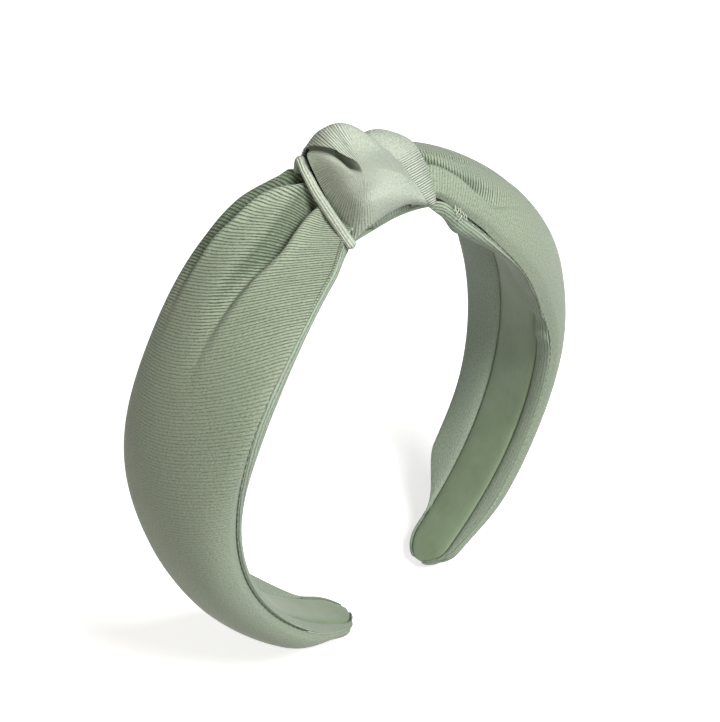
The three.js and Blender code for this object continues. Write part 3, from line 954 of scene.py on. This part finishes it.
def makeWrap():
    u = np.linspace(0, 1, 190)
    lipV = profile(*zip(*eye["line"]))(u)
    below = 1 - np.linspace(1, 0, 120) ** 1.5
    above = np.linspace(0, 1, 150) ** 1.35
    v = np.concatenate([lipV * below[:, None], lipV + (1 - lipV) * above[:, None]])
    isAbove = (np.arange(len(v)) >= len(below))[:, None]
    across = np.broadcast_to(u[None], v.shape)
    grid = patchPoint(wrap["rows"], across, v)
    normal = gridNormals(grid)
    normal *= np.sign(np.sum((grid - np.array([3.0, 2, 5])) * normal))
    away = np.linalg.norm(grid - patchPoint(wrap["rows"], u, lipV)[None], axis=-1)
    opened = 0.25 + 0.75 * smooth(eye["start"], eye["end"] * 0.8, u)
    past = np.clip((u - eye["end"] + eye["roundEnd"]) / eye["roundEnd"], 0, 1)
    opened = opened * np.sqrt(1 - past**2)
    pocketWidth = eye["open"] * (0.3 + 0.7 * opened)
    lipRise = eye["lipHeight"] * np.exp(-((away / 6) ** 2))
    pocketFall = -eye["depth"] * np.exp(-((away / pocketWidth) ** 2.4))
    rise = np.where(isAbove, lipRise, pocketFall)
    down = patchPoint(wrap["rows"], u, lipV - 0.02) - patchPoint(wrap["rows"], u, lipV + 0.02)
    down /= np.linalg.norm(down, axis=-1, keepdims=True)
    slide = np.where(isAbove, eye["overhang"] * np.exp(-away / 3.5), -eye["underlap"] * np.exp(-away / 1.2))
    grid = grid + normal * (rise * opened)[..., None] + down[None] * (slide * opened)[..., None]
    # ribs fan out from poles near the pocket's closed end
    flatX, flatY = grid @ knotRight, grid @ knotUp
    endV = float(profile(*zip(*eye["line"]))(eye["end"]))
    end = patchPoint(wrap["rows"], np.array(eye["end"]), np.array(endV))
    offX, offY = flatX - end @ knotRight, flatY - end @ knotUp
    fanAbove = np.arctan2(offY + 8, offX - 6) * 26
    fanBelow = np.arctan2(1.9 - offX, 3.0 - offY) * 21
    weave = np.stack([np.where(isAbove, fanAbove, fanBelow), rowLengths(np.swapaxes(grid, 0, 1)).T], -1)
    fade = np.where(isAbove, smooth(-1.0, 3.0, offX + 0.35 * offY), smooth(0.5, 4.0, offX))
    nearLip = np.where(isAbove, 1, smooth(3.4, 7.0, away))
    depth = np.where(isAbove, 0.85 - 0.8 * fade, 0.5 - 0.45 * fade) * nearLip
    # rows for the inner side of the lip, with the upper cloth's ribs
    low, high = len(below) - 1, len(below)
    shares = np.array([0.95, 0.75, 0.5, 0.25, 0.1])[:, None, None]
    fall = grid[low] - grid[high]
    back = down * np.sum(fall * down, -1, keepdims=True)
    wall = grid[high] + back * shares**0.6 + (fall - back) * shares**1.1
    thick = 0.05 + 0.45 * smooth(0.3, 3.0, away)
    thick = np.concatenate([thick[:high], np.full((5, len(u)), 0.05), thick[high:]])
    grid = np.concatenate([grid[:high], wall, grid[high:]])
    weave = np.concatenate([weave[:high], np.repeat(weave[high : high + 1], 5, 0), weave[high:]])
    depth = np.concatenate([depth[:high], np.repeat(0.15 * depth[high : high + 1], 5, 0), depth[high:]])
    return makeCloth("knot_wrap_twill", grid, thick, knotTwillPaintedLighter, weave, depth, (3.0, 2, 5))


foldEdge = [row[-1] for row in wrap["rows"]]
loop = dict(
    silhouette=[
        (16, -7, 0), (18.5, -11, 0.8), (22, -7, 3.4), (23.3, -2.5, 8.2), (22.6, 2.5, 13), (17.5, 8, 15.9),
        (17.5, 13, 10), (18, 13, 2), (15, 8, 0),
    ],
    bulge=[0, 0.8, 1.2, 1.3, 0.9, 0.2, 1.2, 1.2, 0],
    ribCloseness=1.4,
)


def makeRightLoop():
    fold = np.array(foldEdge, float)
    outer = np.array(loop["silhouette"], float)
    centre = np.array([12.0, 1, 3])
    toCentre = centre - fold
    toCentre /= np.linalg.norm(toCentre, axis=1, keepdims=True)
    hidden = fold + toCentre * 2.2 + np.array([-3.0, 0, 0])
    under = fold + toCentre * 1.3
    middle = (fold + outer) / 2 - toCentre * np.array(loop["bulge"])[:, None]
    inward = centre + np.array([4.0, 0, 0]) - outer
    inward /= np.linalg.norm(inward, axis=1, keepdims=True)
    tucked = outer + inward * 2.4 + np.array([-0.6, 0, 0])
    deep = outer + inward * 6 + np.array([-3.5, 0, 0])
    table = np.stack([hidden, under, middle, outer, tucked, deep], 1)
    u, v = np.meshgrid(np.linspace(0, 1, 90), np.linspace(0, 1, 170))
    grid = patchPoint(table, u, v)
    flatX, flatY = grid @ knotRight, grid @ knotUp
    slope = math.radians(25)
    ribs = (flatY * math.cos(slope) - flatX * math.sin(slope)) * loop["ribCloseness"]
    weave = np.stack([ribs, flatX], -1)
    depth = 1 - 0.85 * smooth(9, 14, grid[..., 2] + 0.5 * grid[..., 1])
    return makeCloth("knot_right_loop_twill", grid, 0.5, knotTwillPaintedLighter, weave, depth, tuple(centre))


collar = dict(
    path=[
        (-8, -8, 1.8), (-11, -12, 5.3), (-10.2, -5, 8.6), (-8.9, 3, 12), (-7.9, 8, 15.3), (-6.7, 12, 17),
        (-6.6, 13.4, 9), (-6.6, 9, 2.6),
    ],
    width=1.25,
    height=0.95,
    ridges=11,
)


# The rolled band along the wrap's left edge, over the left leg's cloth where it goes into the knot.
def makeCollar():
    path = np.array(collar["path"], float)
    count = 170
    line = patchPoint(path[:, None].repeat(2, 1), np.zeros(count), np.linspace(0, 1, count))
    tangent = np.gradient(line, axis=0)
    tangent /= np.linalg.norm(tangent, axis=1, keepdims=True)
    outward = line - np.array([-5.0, 3, 1])
    outward -= tangent * np.sum(outward * tangent, 1, keepdims=True)
    outward /= np.linalg.norm(outward, axis=1, keepdims=True)
    across = np.cross(tangent, outward)
    turn = np.linspace(0, 2 * math.pi, 64, endpoint=False)
    ridge = 1 + 0.05 * np.cos(turn * collar["ridges"])
    rings = (
        line[:, None]
        + across[:, None] * (collar["width"] * ridge * np.cos(turn))[None, :, None]
        + outward[:, None] * (collar["height"] * ridge * np.sin(turn))[None, :, None]
    )
    length = np.concatenate([[0], np.cumsum(np.linalg.norm(np.diff(line, axis=0), axis=1))])
    weave = np.stack(np.broadcast_arrays(turn[None] * 1.26, length[:, None]), -1)
    return makeLoft("knot_collar_twill", rings, knotTwillPaintedLighter, weave, np.full(rings.shape[:2], 0.45))


def makeCore():
    angle = np.linspace(0, 2 * math.pi, 40, endpoint=False)
    rings = []
    for x, scale in [(-5, 0.6), (-3, 0.85), (0, 1.0), (8, 0.95), (13, 0.85), (15, 0.6)]:
        depth, height = 9.5 * scale, 10.5 * scale
        base = -0.03 * max(0, abs(x) - 4) ** 2 + 3.2
        y = depth * np.cos(angle)
        z = base + np.where(np.sin(angle) > 0, height * np.sin(angle), 0.2 * np.sin(angle))
        rings.append(np.stack([np.full_like(y, x), y, z], -1))
    return makeLoft(
        "knot_core_twill", np.array(rings), facingTwill, np.array(rings)[..., :2], np.full((6, 40), 0.6)
    )


wrapPiece = makeWrap()
loopPiece = makeRightLoop()
collarPiece = makeCollar()
corePiece = makeCore()
for piece, nodeName in (
    (wrapPiece, "knot_main_loop"),
    (loopPiece, "knot_right_loop"),
    (collarPiece, "knot_collar"),
    (corePiece, "knot_core"),
):
    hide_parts(nodeName)
    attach(piece, "crown")


def makeTack():
    part = legs["right"]
    shape = legShape(part)
    random = np.random.default_rng(7)
    paths = []
    for s in (24.4, 25.3, 26.0, 27.2, 28.1):
        reach = float(shape["front"](s))
        seam = float(shape["seamFront"](s))
        lean = random.uniform(-0.7, 0.7)
        steps = np.linspace(-1, 1, 7)
        out = 0.35 + 0.45 * (1 - steps**2)
        paths.append(onHoop(1, s + lean * steps, -(reach - 0.25 + out - 0.4 * steps), seam + 0.9 * steps))
    for s in (24.9, 26.8):
        reach = float(shape["front"](s))
        steps = np.linspace(0, 1, 8)
        curl = random.uniform(-1, 1)
        paths.append(
            onHoop(
                1,
                s + curl * steps,
                -(reach + 0.2 + 0.4 * np.sin(steps * 3)),
                float(shape["seamFront"](s)) - 1.8 * steps,
            )
        )
    return makeRods("tack_threads", paths, 0.12, paleThread)


tackPiece = makeTack()
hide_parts("knot_tack_thread")
blendLeg(tackPiece)
print("knot done")

stageLook = dict(
    floorColour="#f4f4f2",
    floorGlow=0.62,
    floorGap=0.2,
    worldStrength=0.21,
)


def makeStage():
    low = cadBounds[0][2]
    mesh = bpy.data.meshes.new("floor")
    size = 6.0
    z = low - stageLook["floorGap"] * millimetre
    mesh.from_pydata(
        [(-size, -size, z), (size, -size, z), (size, size, z), (-size, size, z)], [], [(0, 1, 2, 3)]
    )
    floor = bpy.data.objects.new("floor", mesh)
    bpy.context.scene.collection.objects.link(floor)
    material, tree, shader = newMaterial("matt white paper")
    shader.inputs["Base Color"].default_value = toLinear(stageLook["floorColour"])
    shader.inputs["Roughness"].default_value = 0.9
    shader.inputs["Specular IOR Level"].default_value = 0.0
    shader.inputs["Emission Color"].default_value = (1, 1, 1, 1)
    shader.inputs["Emission Strength"].default_value = stageLook["floorGlow"]
    mesh.materials.append(material)
    floor.visible_diffuse = False  # it throws no light up on the band
    world = bpy.data.worlds.new("studio")
    world.use_nodes = True
    background = world.node_tree.nodes["Background"]
    background.inputs["Color"].default_value = (1.0, 1.0, 1.0, 1)
    background.inputs["Strength"].default_value = stageLook["worldStrength"]
    bpy.context.scene.world = world


lamps = [
    dict(
        name="softbox front left", place=(-0.45, -0.85, 0.32), size=0.5, power=2.4, colour=(1.0, 1.0, 0.98)
    ),
    dict(name="softbox above", place=(0.16, -0.68, 0.8), size=0.5, power=14, colour=(1.0, 0.995, 0.98)),
    dict(name="softbox left", place=(-0.8, -0.1, 0.3), size=0.5, power=0.7, colour=(1.0, 0.8, 0.4)),
]


def makeLamps():
    for look in lamps:
        data = bpy.data.lights.new(look["name"], "AREA")
        data.shape = "DISK"
        data.size = look["size"]
        data.energy = look["power"]
        data.color = look["colour"]
        lamp = bpy.data.objects.new(look["name"], data)
        lamp.location = look["place"]
        aim = Vector((0, 0, -0.06)) - lamp.location
        lamp.rotation_euler = aim.to_track_quat("-Z", "Y").to_euler()
        bpy.context.scene.collection.objects.link(lamp)


view = dict(place=(-274.2, -347.2, 353.7), azimuth=38.14, elevation=42.38, roll=-4.55, lens=107.75)


def makeCamera():
    azimuth, elevation, roll = (math.radians(view[key]) for key in ("azimuth", "elevation", "roll"))
    back = Vector(
        (
            -math.sin(azimuth) * math.cos(elevation),
            -math.cos(azimuth) * math.cos(elevation),
            math.sin(elevation),
        )
    )
    level = Vector((math.cos(azimuth), -math.sin(azimuth), 0))
    up = back.cross(level)
    right = level * math.cos(roll) + up * math.sin(roll)
    top = up * math.cos(roll) - level * math.sin(roll)
    data = bpy.data.cameras.new("camera")
    data.lens = view["lens"]
    data.sensor_width = 36
    camera = bpy.data.objects.new("camera", data)
    turn = Matrix((right, top, back)).transposed().to_4x4()
    camera.matrix_world = Matrix.Translation(Vector(view["place"]) * millimetre) @ turn
    bpy.context.scene.collection.objects.link(camera)
    bpy.context.scene.camera = camera


makeStage()
makeLamps()
makeCamera()
bpy.context.scene.view_settings.view_transform = "Standard"
print("stage done")
